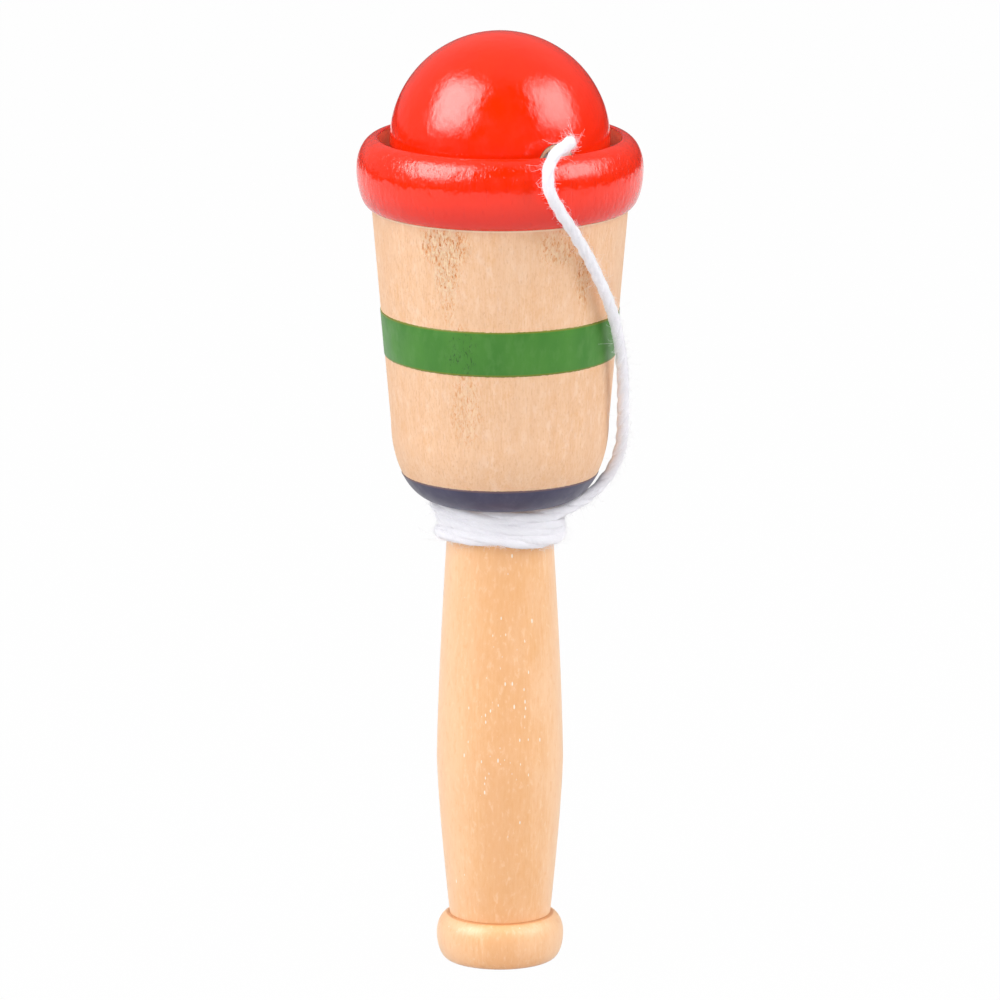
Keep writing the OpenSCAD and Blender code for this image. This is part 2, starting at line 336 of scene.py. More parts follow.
def fibre_threads(line, along, count, first, last, length, steps):
    """Curved threads that leave a cord's surface, as lists of points."""
    tangent, side, over = across_line(line)
    threads = []
    while len(threads) < count:
        i = int(np.interp(scatter.uniform(first, last), along, np.arange(len(along))))
        angle = scatter.uniform(0, 2 * math.pi)
        out = math.cos(angle) * side[i] + math.sin(angle) * over[i]
        away = np.array([line[i][0], line[i][1], 0])
        away /= np.linalg.norm(away)
        if out @ away < -0.1:
            continue
        beside = np.cross(tangent[i], out)
        lean = scatter.choice([-1, 1]) * scatter.uniform(0.3, 1.3)
        curl = scatter.normal(0, 0.8)
        u = np.linspace(0, 1, steps)[:, None]
        kink = 0.14 * np.sin(scatter.uniform(4, 8) * u + scatter.uniform(0, 6))
        reach = min(scatter.gamma(2.5, length / 2.5), longest_fibre)
        start = cord_skin * (1 + 0.3 * in_winding[i] * abs(out[2]))
        rise = start + reach * (0.75 * u - 0.4 * u * u)
        run = reach * ((lean * u + kink) * tangent[i] + (curl * u * u + kink) * beside)
        threads.append(line[i] + rise * out + run)
    return threads


def thread_mesh(name, threads, radius):
    """A mesh of thin three-sided threads."""
    points, faces = [], []
    thirds = [2 * math.pi * k / 3 for k in range(3)]
    for thread in threads:
        tangent, side, over = across_line(thread)
        thin = radius * np.linspace(1, 0.5, len(thread))[:, None]
        edges = [thread + thin * (math.cos(turn) * side + math.sin(turn) * over) for turn in thirds]
        faces += tube_faces(len(points), len(thread), 3)
        points += list(np.stack(edges, axis=1).reshape(-1, 3))
    return mesh_piece(name, points, faces)


fuzz_from, fuzz_to = 31, cord_length - 3
fibre_kinds = {
    "nap": (7500, fuzz_from, fuzz_to, 0.6, 3),
    "wisps": (700, fuzz_from, fuzz_to, 1.1, 7),
    "tuft at the ball": (700, fuzz_from - 1, fuzz_from + 16, 0.7, 7),
    "last row": (1300, cord_length - 64, cord_length - 12, 0.65, 5),
    "low run": (500, wind_from - 32, wind_from, 0.65, 5),
}
threads = []
for count, first, last, length, steps in fibre_kinds.values():
    threads += fibre_threads(cord_line, cord_along, count, first, last, length, steps)
fuzz = thread_mesh("cord_fuzz", threads, fibre_r)
print("fuzz has", len(fuzz.data.polygons), "faces")

# %% [markdown]
# ## The two knots
# The cord is stopped by a knot behind the ball and tied off by another at the back of the neck.
# A ball of mesh would pass from afar, but an overhand knot has a shape of its own: a three-lobed loop.
# That loop is a well-known curve, so the same strands are simply sent round it and squeezed to size.

# %% Knots
knot_lay = 4.2
knot_turn = np.linspace(0, 2 * math.pi, 97)
loop_reach = 3
loop = np.stack([np.sin(knot_turn) + 2 * np.sin(2 * knot_turn),
                 np.cos(knot_turn) - 2 * np.cos(2 * knot_turn),
                 -np.sin(3 * knot_turn)], axis=1)


def overhand_knot(name, centre, axis, width, depth, thickness):
    """A pulled-tight overhand knot, flat along an axis."""
    axis = axis / np.linalg.norm(axis)
    side = np.cross(axis, [0, 0, 1])
    side /= np.linalg.norm(side)
    over = np.cross(axis, side)
    span = (width - thickness) / 2 / loop_reach
    lift = (depth - thickness) / 2
    line = centre + span * (loop[:, :1] * side + loop[:, 1:2] * over) + lift * loop[:, 2:] * axis
    line, along = even_steps(line, walk_step)
    strands, around = strand_rings(line, along, along / knot_lay, 0 * along, thickness / cord_d)
    return strand_mesh(name, strands, along, around)


stopper_point = ball_centre - (stopper_start + 1.0) * mouth_dir
ball_knot = overhand_knot("ball_stopper_knot", stopper_point,
                          mouth_dir, width=4.2, depth=2.0, thickness=1.15)
neck_knot = overhand_knot("neck_tie_knot", tail_point + 1.5 * tail_dir,
                          tail_dir, width=3.7, depth=3.2, thickness=1.5)
print("knots at", np.round(stopper_point, 1), np.round(tail_point, 1))

# %% [markdown]
# ## Turning wood
# Cup, handle, ball and paint were all shaped on a lathe, so each is one outline spun round an axis.
# A screw or lathe modifier would do it too, but spin leaves a plain mesh that can be edited afterwards.
# The outline starts as one vertex, is drawn by extruding that vertex, and is spun a full turn.
# Then the doubled seam and poles are merged, the normals turned outwards and the creases kept sharp.

# %% Lathe
lathe_steps, fine_steps = 144, 400
merge_gap = 0.004


def on_lathe(name, outline, centre=(0, 0, 0), axis=(0, 0, 1), across=(1, 0, 0),
             steps=lathe_steps, crease=32):
    """Spins an outline of (distance from the axis, distance along it), in millimetres."""
    spots = [Vector(centre) * MM + (Vector(across) * r + Vector(axis) * s) * MM for r, s in outline]
    bpy.ops.object.select_all(action="DESELECT")
    bpy.ops.mesh.primitive_plane_add(size=MM)
    piece = bpy.context.object
    piece.name = piece.data.name = name
    bpy.ops.object.mode_set(mode="EDIT")
    bpy.ops.mesh.select_mode(type="VERT")
    bpy.ops.mesh.select_all(action="SELECT")
    bpy.ops.mesh.merge(type="CENTER")
    bpy.ops.transform.translate(value=spots[0])
    for a, b in zip(spots, spots[1:]):
        bpy.ops.mesh.extrude_vertices_move(TRANSFORM_OT_translate={"value": b - a})
    bpy.ops.mesh.select_all(action="SELECT")
    bpy.ops.mesh.spin(steps=steps, angle=2 * math.pi, center=Vector(centre) * MM, axis=axis)
    bpy.ops.mesh.select_all(action="SELECT")
    bpy.ops.mesh.remove_doubles(threshold=merge_gap * MM)
    bpy.ops.mesh.normals_make_consistent(inside=False)
    bpy.ops.object.mode_set(mode="OBJECT")
    bpy.ops.object.shade_smooth_by_angle(angle=math.radians(crease))
    print(name, "has", len(piece.data.polygons), "faces")
    return piece


def bow(centre_r, centre_z, wide, high, first, last, steps):
    """Points of an ellipse between two angles in degrees."""
    turn = np.radians(np.linspace(first, last, steps + 1))
    return [(centre_r + wide * math.cos(a), centre_z + high * math.sin(a)) for a in turn]


print("a turn on the lathe has", lathe_steps, "steps, or", fine_steps, "for a fine edge")

# %% [markdown]
# ## The cup
# The cup is one block: a spigot below for glue, a rounded underside, a flared wall, a bead for a rim
# and a bowl that the ball drops into. Wood breaks off at a sharp lip, so the lip gets a small rounding.

# %% Cup
floor_r, wall_low_r, wall_top_r, rim_r, lip_r = 9.4, 16.1, 18.9, 21.0, 18.0
wall_z, rim_z, rim_mid_z = 81.9, 114.4, 120.1
bowl_r, bowl_z = 18.02, 125.47
spigot_r, spigot_z = 4, 56.4
lip_round = 0.35
lip_mid_r, lip_mid_z = lip_r + lip_round - 0.04, lip_z - lip_round - 0.01


def wall_radius(z):
    """Radius of the cup's bare wall at a height."""
    return wall_low_r + (wall_top_r - wall_low_r) * (z - wall_z) / (rim_z - wall_z)


def bead(coat, steps=18):
    """The rim's outside, from its lower edge nearly to the lip, bare or under a coat of paint."""
    lower = bow(wall_top_r, rim_mid_z, rim_r - wall_top_r + coat, rim_mid_z - rim_z + coat, -90, 0, steps)
    upper = bow(lip_r, rim_mid_z, rim_r - lip_r + coat, lip_z - rim_mid_z + coat, 0, 84, steps)
    return lower + upper[1:]


bowl_side = bow(0, bowl_z, bowl_r, bowl_r, -3.6, -90, 30)
lip_edge = bow(lip_mid_r, lip_mid_z, lip_round, lip_round, 90, 175, 5)
cup_outline = [(0, spigot_z), (spigot_r - 0.5, spigot_z), (spigot_r, spigot_z + 0.5), (spigot_r, handle_h)]
cup_outline += bow(floor_r, wall_z, wall_low_r - floor_r, wall_z - handle_h, -90, 0, 26)
cup_outline += [(wall_radius(z), z) for z in np.linspace(wall_z, rim_z, 14)[1:-1]]
cup_outline += bead(0) + lip_edge + bowl_side
cup = on_lathe("cup_wood_block", cup_outline)

# %% [markdown]
# ## The three coats of paint
# Paint was laid on while the cup still turned, so its edges are nearly, but not quite, true circles.
# A mask in the wood's material would give the colour but no edge, so each coat is a thin closed shell.
# The edges of the green and blue coats are rounded, as a paint edge is, and a wave pushes them up and down
# a little.
# The first coat is the red one, which goes over the bead and just round the lip.

# %% Red coat
coat_t, sunk, feather = 0.1, 0.06, 0.06
edge_reach, edge_wave = 0.6, 0.035
below_all = -99


def wavy_edge(piece, low, high, seed):
    """Moves the edges of a coat up and down a little, by a smooth wave round the axis."""
    rng = np.random.default_rng(seed)
    waves = [(n, rng.uniform(0, 2 * math.pi), rng.normal() / n**0.6) for n in (2, 3, 5, 9, 17, 31)]
    waves += [(n, rng.uniform(0, 2 * math.pi), 0.35) for n in (59, 83, 109, 131, 157)]
    for vertex in piece.data.vertices:
        angle = math.atan2(vertex.co.y, vertex.co.x)
        push = sum(size * math.sin(n * angle + phase) for n, phase, size in waves)
        gap = min(abs(vertex.co.z / MM - edge) for edge in (low, high))
        vertex.co.z += edge_wave * max(1 - gap / edge_reach, 0) * push * MM
    piece.data.update()


rim_outline = bead(coat_t)
rim_outline += bow(lip_mid_r, lip_mid_z, lip_round + coat_t, lip_round + coat_t, 90, 150, 5)
rim_outline += [(17.94, lip_z - 0.2), (18.03, lip_z - 0.27), (18.2, lip_z - 0.4), (18.6, lip_z - 0.2)]
rim_outline += bead(-sunk)[::-1][3:]
rim_outline += [rim_outline[0]]
rim_coat = on_lathe("rim_red_coat", rim_outline, crease=40)

# %% [markdown]
# The green band is a sleeve round the wall. Its outside is given point by point, so its edges thin out.

# %% Green band
green_low, green_high = 92.2, 99.0
green_outline = [(wall_radius(green_low) - sunk, green_low)]
for z, rise in [(0, 0.02), (0.05, 0.07), (0.16, 0.1), (1.7, 0.1), (3.4, 0.1), (5.1, 0.1),
                (6.64, 0.1), (6.75, 0.07), (6.8, 0.02)]:
    green_outline.append((wall_radius(green_low + z) + rise, green_low + z))
green_outline += [(wall_radius(green_high) - sunk, green_high), green_outline[0]]
green_coat = on_lathe("green_coat", green_outline, steps=fine_steps, crease=60)
wavy_edge(green_coat, green_low, green_high, seed=5)

# %% [markdown]
# The dark blue one follows the cup's rounded underside from the handle up.

# %% Blue band
navy_top = 74.5
navy_end = math.degrees(math.asin((navy_top - wall_z) / (wall_z - handle_h)))


def navy_side(coat, first, last, steps):
    """The cup's rounded underside, under a coat, between two angles."""
    return bow(floor_r, wall_z, wall_low_r - floor_r + coat, wall_z - handle_h + coat, first, last, steps)


navy_outline = navy_side(-sunk, -90, -90, 0) + navy_side(coat_t, -90, navy_end - 0.4, 18)
navy_outline += navy_side(feather, navy_end, navy_end, 0) + navy_side(-sunk, navy_end, -90, 18)
navy_coat = on_lathe("navy_coat", navy_outline, steps=fine_steps, crease=60)
wavy_edge(navy_coat, below_all, navy_top, seed=8)

# %% [markdown]
# ## The handle
# The handle is a second turned piece: a round foot, a crease, a grip that swells and a slim neck.
# A socket in its top takes the cup's spigot. The crease stays sharp, as the tool's corner left it.

# %% Handle
foot_r, base_r, foot_mid_h = 9.45, 7.8, 3.8
socket_r, socket_z = spigot_r + 0.05, spigot_z - 0.5
handle_outline = [(0, 0.25), (5.6, 0.2), (base_r - 0.5, 0)]
handle_outline += bow(base_r, foot_mid_h, foot_r - base_r, foot_mid_h, -90, 0, 16)
handle_outline += bow(ankle_r, foot_mid_h, foot_r - ankle_r, foot_h - foot_mid_h, 0, 90, 16)[1:]
handle_outline += [(grip_radius(z), z) for z in np.linspace(foot_h, grip_mid_h, 22)[1:]]
handle_outline += [(grip_radius(z), z) for z in np.linspace(grip_mid_h, handle_h, 30)[1:]]
handle_outline += [(socket_r, handle_h), (socket_r, socket_z), (0, socket_z)]
handle = on_lathe("handle_wood_turning", handle_outline)

# %% [markdown]
# ## The ball
# The ball is bored through its centre, and the drill left a bare countersink at each end.
# It is spun round the bore instead of round the upright axis, so the hole is part of the outline.
# A sphere with a hole cut in it would have ragged triangles just where the highlight runs.

# %% Ball
bore_r, bare_r = 1.8, 2.95
bare_end = math.sqrt(ball_r**2 - bare_r**2)
edge_turn = math.degrees(math.asin((bare_r + 0.12) / ball_r))
hole_edge = [(2.05, sink_start + 0.55), (2.2, sink_start + 0.88), (2.45, bare_end - 0.16),
             (2.7, bare_end - 0.08), (bare_r - 0.1, bare_end - 0.05), (bare_r, bare_end - 0.02)]
ball_outline = [(bore_r, s) for s in np.linspace(-sink_start, sink_start, 9)] + hole_edge
ball_outline += bow(0, 0, ball_r, ball_r, 90 - edge_turn, edge_turn - 90, 84)
ball_outline += [(r, -s) for r, s in hole_edge[::-1]] + [(bore_r, -sink_start)]
ball = on_lathe("ball_turning", ball_outline, centre=ball_centre, axis=mouth_dir, across=mouth_up)

# %% [markdown]
# ## Tools for materials
# Every finish here is drawn with nodes, so it works on any mesh and needs no picture.
# Colours are noted as they look on a screen and turned into the linear values that a shader takes.
# Nodes can be wired one by one, but then the idea of a finish drowns in wires. So a few short helpers
# place a node, feed its sockets and find the tree that it belongs to.

# %% Node helpers


def tint(*screen):
    """A screen colour of 0 to 255 as the linear colour that a shader takes."""
    share = [c / 255 for c in screen]
    return tuple(c / 12.92 if c <= 0.04045 else ((c + 0.055) / 1.055) ** 2.4 for c in share) + (1,)


def is_linked(value):
    return isinstance(value, bpy.types.NodeSocket)


def tree_of(*values):
    """The node tree that the first socket among some values belongs to."""
    return next(value.id_data for value in values if is_linked(value))


def feed(socket, value):
    """Links a socket to another, or sets its value."""
    if is_linked(value):
        tree_of(socket).links.new(value, socket)
    else:
        socket.default_value = value


def put(tree, kind, options=(), **inputs):
    """Adds a shader node with its options and inputs."""
    node = tree.nodes.new("ShaderNode" + kind)
    for name, value in dict(options).items():
        setattr(node, name, value)
    for name, value in inputs.items():
        feed(node.inputs[name.replace("_", " ")], value)
    return node


def find(tree, kind):
    """A node that a new tree already holds."""
    return next(node for node in tree.nodes if node.type == kind)


print("node helpers ready")

# %% [markdown]
# Sums come next. A socket knows its own tree, so a sum only needs its two values, sockets or numbers.

# %% Sums


def maths(operation, first, second=0.0):
    """One sum on two values."""
    node = put(tree_of(first, second), "Math", {"operation": operation})
    feed(node.inputs[0], first)
    feed(node.inputs[1], second)
    return node.outputs[0]


def times(first, second):
    return maths("MULTIPLY", first, second)


def minus(first, second):
    return maths("SUBTRACT", first, second)


def gap_to(value, level):
    """How far a value is from a level."""
    return maths("ABSOLUTE", minus(value, level))


def vector_maths(operation, first, second=(0, 0, 0)):
    """One sum on two vectors, with its vector and its value as outputs."""
    node = put(tree_of(first), "VectorMath", {"operation": operation})
    feed(node.inputs[0], first)
    feed(node.inputs[1], second)
    return node.outputs


def length_of(vector):
    return vector_maths("LENGTH", vector)["Value"]


def parts_of(vector):
    """The x, y and z of a vector."""
    return put(tree_of(vector), "SeparateXYZ", Vector=vector).outputs


print("sums ready")

# %% [markdown]
# Patterns and colours are the last. A pattern is noise at a place that was stretched before, because wood
# and cotton have a direction. Colours lie over each other in thin layers, and heights add up to a relief.

# %% Pattern helpers


def scaled(place, size, shift=(0, 0, 0)):
    """A place moved and then scaled, to stretch a pattern."""
    moved = vector_maths("ADD", place, shift)
    return vector_maths("MULTIPLY", moved[0], size)[0]


def in_ellipsoid(place, middle, half):
    """How far out a place is in an ellipsoid: 0 in its middle and 1 at its skin."""
    return length_of(scaled(place, [1 / h for h in half], [-m for m in middle]))


def noise(place, scale, detail=2.0, rough=0.5, twist=0.0):
    """A cloudy pattern of 0 to 1."""
    node = put(tree_of(place), "TexNoise", Vector=place, Scale=scale, Detail=detail, Roughness=rough,
               Distortion=twist)
    return node.outputs["Fac"]


def ranged(value, low, high, to_low=0.0, to_high=1.0):
    """A value moved from one range to another, with a soft start and end."""
    node = put(tree_of(value), "MapRange", {"interpolation_type": "SMOOTHSTEP"}, Value=value,
               From_Min=low, From_Max=high, To_Min=to_low, To_Max=to_high)
    return node.outputs[0]


def mixed(amount, first, second):
    """A colour between two colours."""
    node = put(tree_of(amount), "Mix", {"data_type": "RGBA"})
    for number, value in ((0, amount), (6, first), (7, second)):
        feed(node.inputs[number], value)
    return node.outputs[2]


def layered(colour, *layers):
    """A colour under others: each has a mask, or a value and its range, then a strength and a colour."""
    for mask, *span, most, screen in layers:
        amount = ranged(mask, *span, 0.0, most) if span else times(mask, most)
        colour = mixed(amount, colour, tint(*screen))
    return colour


def heaped(*layers):
    """Heights added up, each times its own weight."""
    total = 0.0
    for value, weight in layers:
        total = maths("ADD", total, times(value, weight))
    return total


print("pattern helpers ready")

# %% [markdown]
# ## Grain, torn grain, paint film and cotton as groups
# The same wood shows in the cup, in the handle, in the ball's hole and, faintly, through the paint.
# So each pattern is a node group: built once, placed in the materials, fed with each piece's own values.
# Below, an input without a number takes a vector, and the others start at their number.

# %% Group helper


def start_group(name, inputs, outputs):
    """An empty shader group, with the sockets that come in and those that go out."""
    group = bpy.data.node_groups.new(name, "ShaderNodeTree")
    for label, value in inputs.items():
        kind = "NodeSocketVector" if value is None else "NodeSocketFloat"
        socket = group.interface.new_socket(label, in_out="INPUT", socket_type=kind)
        if value is not None:
            socket.default_value = value
    for label in outputs:
        group.interface.new_socket(label, in_out="OUTPUT", socket_type="NodeSocketFloat")
    given = group.nodes.new("NodeGroupInput")
    gives = group.nodes.new("NodeGroupOutput")
    return group, given.outputs, gives.inputs


def use_group(tree, group, **inputs):
    """Places a group in a tree and gives its outputs."""
    return put(tree, "Group", {"node_tree": group}, **inputs).outputs


print("group helpers ready")

# %% [markdown]
# Grain is a solid pattern stretched along the axis, as it is in a real billet, so it runs true everywhere.
# Streaks, pores and mottle are noise, stretched by different amounts. The year rings are a wave of the
# distance from the pith, the middle of the tree, which lay outside the billet.

# %% Turned grain group
pith_back = 14
ring_wave, ring_wander = 2.3, 5
grain, given, gives = start_group("turned_grain", {"Place": None, "Fineness": 3.2, "Pith": 30.0},
                                  ["Streak", "Pores", "Mottle", "Rings"])
place, fineness = given["Place"], given["Fineness"]
feed(gives["Streak"], noise(scaled(place, (1, 1, 0.07)), fineness, 4, 0.6))
pore_place = scaled(place, (1, 1, 0.16), (7, 3, 0))
pore = noise(pore_place, times(fineness, 1.5), 1, 0.4)
feed(gives["Pores"], ranged(pore, 0.60, 0.74))
feed(gives["Mottle"], noise(scaled(place, (1, 1, 0.4), (0, 9, 2)), 0.22, 2))
spot = parts_of(place)
squares = []
for way, shift in ((spot[0], given["Pith"]), (spot[1], pith_back)):
    squares.append(maths("POWER", maths("ADD", way, shift), 2))
from_pith = maths("SQRT", maths("ADD", *squares))
wander = times(noise(scaled(place, (1, 1, 0.12)), 0.16, 2), ring_wander)
ring = maths("SINE", times(maths("ADD", from_pith, wander), ring_wave))
feed(gives["Rings"], maths("MULTIPLY_ADD", ring, 0.5))
print("group", grain.name, "has", len(grain.nodes), "nodes")

# %% [markdown]
# Where the tool met the grain the wrong way, it tore it: two rough patches sit under the rim at the front,
# and one runs on down through the green band. They are ellipsoids in space, each with a middle, half sizes
# and a strength, filled with short upright pits and with pale fibres that the tool lifted between them.

# %% Torn grain group
torn, given, gives = start_group("torn_grain", {"Place": None}, ["Lifted", "Pits", "Holes"])
place = given["Place"]
patches = [
    ((-8.4, -17.0, 111.6), (5.4, 6.0, 4.6), 1.0),
    ((-7.7, -16.8, 107.6), (2.6, 6.0, 5.2), 0.9),
    ((-7.4, -16.5, 103.0), (1.6, 6.0, 4.5), 0.5),
    ((-5.6, -16.6, 95.5), (3.2, 6.0, 5.5), 0.8),
    ((-5.0, -15.8, 87.0), (3.2, 6.0, 8.0), 0.45),
    ((9.2, -15.8, 111.6), (5.4, 6.0, 4.2), 0.65),
    ((12.0, -12.8, 106.5), (1.6, 5.0, 6.0), 0.8),
]
mask = 0.0
for middle, half, strength in patches:
    inside = ranged(in_ellipsoid(place, middle, half), 1.0, 0.4, 0.0, strength)
    mask = maths("MAXIMUM", mask, inside)
pit = noise(scaled(place, (1, 1, 0.33), (2, 5, 1)), 3.3, 3, 0.65, 0.9)
for label, none, full in (("Lifted", 0.5, 0.38), ("Pits", 0.5, 0.62), ("Holes", 0.57, 0.63)):
    feed(gives[label], times(mask, ranged(pit, none, full)))
print("group", torn.name, "has", len(patches), "patches")

# %% [markdown]
# Paint levels out before it dries, but not fully: it keeps a slow ripple and a finer peel over it,
# and fingers leave dull marks.

# %% Paint film group
film, given, gives = start_group("paint_film", {"Place": None, "Ripples": 0.5},
                                 ["Ripple", "Peel", "Marks"])
place = given["Place"]
feed(gives["Ripple"], noise(place, given["Ripples"], 2, 0.45))
feed(gives["Peel"], noise(scaled(place, (1, 1, 0.6), (5, 2, 3)), 1.0, 2, 0.5))
mark = noise(scaled(place, (1, 1, 1), (4, 1, 8)), 0.35, 4, 0.6)
feed(gives["Marks"], ranged(mark, 0.35, 0.7))
print("group", film.name, "has", len(film.nodes), "nodes")

# %% [markdown]
# Cotton fibres lie a little askew to their strand, so the pattern is turned on the strand's own UV map.

# %% Cotton group
fibre_lean = math.radians(24)
cotton, given, gives = start_group("cotton_fibre", {"Along": None}, ["Fibre", "Shade"])
along = given["Along"]
askew = put(cotton, "Mapping", Vector=along, Rotation=(0, 0, fibre_lean), Scale=(0.9, 9, 1))
feed(gives["Fibre"], noise(askew.outputs[0], 1.0, 3, 0.6))
feed(gives["Shade"], noise(scaled(along, (0.35, 0.8, 1)), 1.0, 2))
print("group", cotton.name, "has", len(cotton.nodes), "nodes")

# %% [markdown]
# ## Starting a material
# A new material already holds its shader. What each finish needs besides is a place to draw at, so the
# object's own coordinates are turned into millimetres, and a bump that turns heights into a relief.

# %% Material helpers


def start_material(name):
    """A new material, its tree, its shader and its place in millimetres."""
    material = bpy.data.materials.new(name)
    material.use_nodes = True
    tree = material.node_tree
    coords = put(tree, "TexCoord")
    millimetres = put(tree, "Mapping", Vector=coords.outputs["Object"], Scale=(1000, 1000, 1000))
    return material, tree, find(tree, "BSDF_PRINCIPLED"), millimetres.outputs[0]


def finish_with(shader, **values):
    """Feeds the shader's own sockets."""
    for name, value in values.items():
        feed(shader.inputs[name.replace("_", " ")], value)


def relief(height, depth):
    """A bump of a depth in millimetres, for the shader's normal."""
    bump = put(tree_of(height), "Bump", Strength=1.0, Distance=depth * MM, Height=height)
    return bump.outputs["Normal"]


def dress(material, *pieces):
    """Gives a material to pieces."""
    for piece in pieces:
        piece.data.materials.append(material)
    print("material", material.name, "on", [piece.name for piece in pieces])


print("material helpers ready")

# %% [markdown]
# ## Bare wood of the cup
# The cup is pale, dry and unlacquered: a peach tone with fine upright streaks and short brown pores.
# The streaks only shift the tone a little. What makes it read as wood is the relief, so the pores and
# the torn patches go into a bump as well as into the colour, where the torn patches' pale fibres and dark
# pits are partly their own tone and partly painted highlight and painted shade. A pale line runs round
# just under the red bead.

# %% Cup wood
pale_line_z, pale_line_r = rim_z - 0.15, 17
cup_wood, tree, shader, place = start_material("bare_cup_wood")
wood = use_group(tree, grain, Place=place, Fineness=4.2, Pith=42.0)
rough = use_group(tree, torn, Place=place)
speckle = noise(scaled(place, (1, 1, 0.6), (1, 6, 3)), 3.4, 2, 0.6)
cloud = noise(scaled(place, (1, 1, 0.5), (8, 2, 5)), 0.9, 3, 0.62)
from_line = gap_to(parts_of(place)[2], pale_line_z)
from_axis = length_of(scaled(place, (1, 1, 0)))
outside = maths("GREATER_THAN", from_axis, pale_line_r)
pale_line = times(ranged(from_line, 0.3, 0.12), outside)
colour = layered(
    tint(240, 192, 150),
    (wood["Streak"], 0.36, 0.66, 1.0, (246, 202, 164)),
    (speckle, 0.5, 0.72, 0.55, (229, 176, 132)),
    (cloud, 0.52, 0.72, 0.75, (250, 214, 186)),
    (cloud, 0.48, 0.3, 0.65, (236, 182, 132)),
    (wood["Mottle"], 0.35, 0.7, 0.45, (242, 200, 164)),
    (wood["Rings"], 0.2, 1.0, 0.14, (230, 174, 128)),
    (wood["Pores"], 0.25, (208, 148, 104)),
    # partly painted light: the lifted fibres are painted paler and the pits and holes darker, as painted
    # highlight and painted shade of their relief, over the torn wood's own tone
    (rough["Lifted"], 0.8, (255, 226, 186)),
    (rough["Pits"], 0.9, (246, 168, 96)),
    (rough["Holes"], 0.85, (198, 106, 44)),
    # a pale line round the cup just under the red bead
    (pale_line, 0.6, (255, 236, 208)))
height = heaped((wood["Streak"], 0.28), (wood["Pores"], -0.35), (speckle, -0.5),
                (rough["Lifted"], 0.5), (rough["Pits"], -0.4))
finish_with(shader, Base_Color=colour, Normal=relief(height, 0.09), Specular_IOR_Level=0.5,
            Roughness=ranged(wood["Streak"], 0.3, 0.7, 0.58, 0.48))
dress(cup_wood, cup)

# %% [markdown]
# ## Lacquered wood of the handle
# The handle is yellower and lacquered: longer grain, a soft shine and small curls of tone all over. Painted
# sheen makes its sides paler and its middle darker, and painted shade darkens the crease of the foot. A
# sprinkle of tiny pale flecks shows where the lacquer didn't fill the pores. The flecks are the cores of
# scattered cells, stretched upright and crowded in the middle.

# %% Handle wood
sheen_middle_x, sheen_wander = 0.5, 6
fleck_middle, fleck_half = (0, -9, 40), (6, 7, 18)
handle_wood, tree, shader, place = start_material("lacquered_handle_wood")
billet = scaled(place, (1, 1, 1.3), (3, 8, 50))
wood = use_group(tree, grain, Place=billet, Fineness=3.4, Pith=24.0)
spot = parts_of(place)
wavy = times(minus(wood["Mottle"], 0.5), sheen_wander)
from_sheen_middle = maths("ABSOLUTE", maths("ADD", minus(spot[0], sheen_middle_x), wavy))
curls = noise(scaled(place, (1, 1, 0.45), (3, 1, 2)), 1.5, 3, 0.62, 0.4)
cells = put(tree, "TexVoronoi", Vector=scaled(place, (1, 1, 0.36)), Scale=1.7, Randomness=1.0)
chance = put(tree, "SeparateColor", Color=cells.outputs["Color"]).outputs
core = ranged(minus(cells.outputs["Distance"], times(chance[1], 0.16)), 0.1, 0.02)
crowd = ranged(in_ellipsoid(place, fleck_middle, fleck_half), 1.15, 0.4, 0.02, 0.65)
fleck = times(core, maths("LESS_THAN", chance[0], crowd))
colour = layered(
    tint(245, 186, 130),
    (wood["Streak"], 0.34, 0.68, 1.0, (248, 196, 145)),
    (wood["Mottle"], 0.3, 0.75, 0.5, (250, 200, 156)),
    (wood["Rings"], 0.1, 1.0, 0.16, (238, 178, 122)),
    (wood["Pores"], 0.14, (222, 156, 102)),
    # painted sheen: the sides are painted paler and the middle darker, as the lamps' sheen falls on the
    # round handle
    (from_sheen_middle, 4.0, 8.0, 0.6, (254, 210, 168)),
    (from_sheen_middle, 5.0, 1.0, 0.5, (241, 178, 120)),
    (curls, 0.52, 0.74, 0.5, (255, 216, 176)),
    (curls, 0.47, 0.28, 0.35, (240, 174, 114)),
    (fleck, 0.85, (255, 246, 236)),
    # painted shade: a dark line round the crease of the foot
    (gap_to(spot[2], foot_h), 0.16, 0.03, 0.6, (196, 124, 66)))
height = heaped((wood["Streak"], 0.5), (wood["Pores"], -0.3), (fleck, -0.6))
finish_with(shader, Base_Color=colour, Normal=relief(height, 0.035), IOR=1.5,
            Specular_IOR_Level=0.5, Roughness=ranged(wood["Mottle"], 0.3, 0.7, 0.3, 0.4))
dress(handle_wood, handle)

# %% [markdown]
# ## Glossy red
# Ball and rim are the same red, thick and glossy. Two large soft lamps show in it, and their edges waver
# because the film ripples. On the rim the grain of the bead also lifts the film into small upright ridges.
# The gloss is the shader's own reflection, so it follows the lamps in every view.

# %% Red paint


